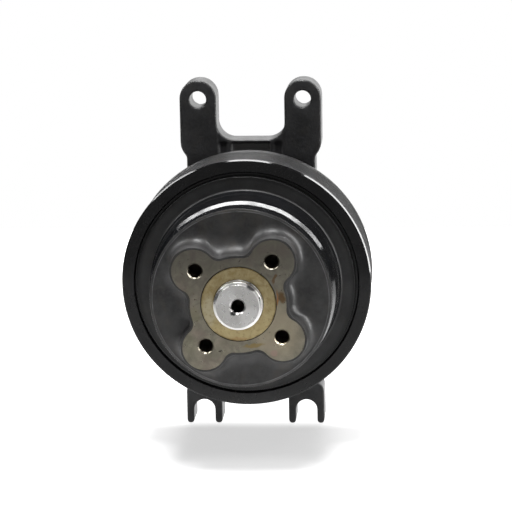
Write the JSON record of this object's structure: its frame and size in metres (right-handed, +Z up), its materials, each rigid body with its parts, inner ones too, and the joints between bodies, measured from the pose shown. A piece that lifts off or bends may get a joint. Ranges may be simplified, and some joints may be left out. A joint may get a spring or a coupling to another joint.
{
  "type": "hydraulic motor",
  "caption": "Bracket-mounted hydraulic gear motor that turns a ribbed belt pulley and a lobed drive hub; the black cast bracket has two eared bolt holes above and forked feet below.",
  "frame": {"origin": "centre of the hub's four-lobed bolting face, on the shaft axis", "axes": "-Y along the shaft, out of the hub; +Z up, towards the bracket's two ears; +X to the right seen from the hub"},
  "size_m": [0.1952, 0.3111, 0.2835],
  "materials": {
    "black_cast": "semi-gloss black paint over as-cast iron, machined pads bare",
    "black_steel": "satin black coating on machined steel",
    "grey_cast": "machined cast iron, oiled",
    "motor_paint": "satin dark grey paint over cast iron",
    "turned_steel": "fine turned",
    "passivated_steel": "turned, yellow passivated and oil stained",
    "bearing_steel": "ground and polished",
    "brass_cage": "machined brass",
    "gear_steel": "ground hardened steel",
    "fastener_steel": "black oxide",
    "plated_steel": "zinc plated",
    "spring_steel": "oiled spring steel",
    "block_alloy": "machined",
    "bush_bronze": "sintered bronze liner",
    "seal_rubber": "matte nitrile rubber",
    "copper_ring": "soft copper"
  },
  "bodies": {
    "housing": {"mounting_bracket": "black_cast", "bearing_nose": "grey_cast", "nose_bolts": "fastener_steel", "front_bearing_outer": "bearing_steel", "rear_bearing_outer": "bearing_steel", "front_circlip": "spring_steel", "rear_circlip": "spring_steel", "nose_seal": "seal_rubber", "front_cover": "motor_paint", "gear_body": "motor_paint", "rear_cover": "motor_paint", "front_bearing_block": "block_alloy", "rear_bearing_block": "block_alloy", "bearing_bushes": "bush_bronze", "front_pressure_seal": "seal_rubber", "rear_pressure_seal": "seal_rubber", "front_body_seal": "seal_rubber", "rear_body_seal": "seal_rubber", "motor_shaft_seal": "seal_rubber", "seal_circlip": "spring_steel", "dowel_pins": "gear_steel", "through_bolts": "fastener_steel", "through_washers": "plated_steel", "flange_bolts": "fastener_steel", "flange_washers": "plated_steel", "drain_plug": "plated_steel", "drain_seal": "copper_ring"},
    "rotor": {"output_shaft": "turned_steel", "hub_key": "gear_steel", "hub_sleeve": "passivated_steel", "hub_drum": "black_cast", "belt_pulley": "black_steel", "pulley_screws": "fastener_steel", "wear_sleeve": "turned_steel", "front_bearing_inner": "bearing_steel", "rear_bearing_inner": "bearing_steel", "locknut": "fastener_steel", "lock_washer": "plated_steel", "drive_key": "gear_steel", "drive_gear": "gear_steel"},
    "idler": {"idler_gear": "gear_steel"},
    "front_ball_set": {"front_bearing_cage": "brass_cage", "front_bearing_balls": "bearing_steel"},
    "rear_ball_set": {"rear_bearing_cage": "brass_cage", "rear_bearing_balls": "bearing_steel"}
  },
  "joints": [
    {"name": "hub_spin", "type": "hinge", "parent": "housing", "child": "rotor", "pos_m": [0, 0, 0], "axis": [0, -1, 0], "continuous": true},
    {"name": "idler_spin", "type": "hinge", "parent": "housing", "child": "idler", "pos_m": [0, 0.2342, -0.048], "axis": [0, -1, 0], "continuous": true},
    {"name": "front_cage_spin", "type": "hinge", "parent": "housing", "child": "front_ball_set", "pos_m": [0, 0.0572, 0], "axis": [0, -1, 0], "continuous": true},
    {"name": "rear_cage_spin", "type": "hinge", "parent": "housing", "child": "rear_ball_set", "pos_m": [0, 0.1247, 0], "axis": [0, -1, 0], "continuous": true}
  ],
  "couplings": [
    {"joint": "idler_spin", "follows": "hub_spin", "ratio": -1},
    {"joint": "front_cage_spin", "follows": "hub_spin", "ratio": 0.4},
    {"joint": "rear_cage_spin", "follows": "hub_spin", "ratio": 0.4077}
  ]
}
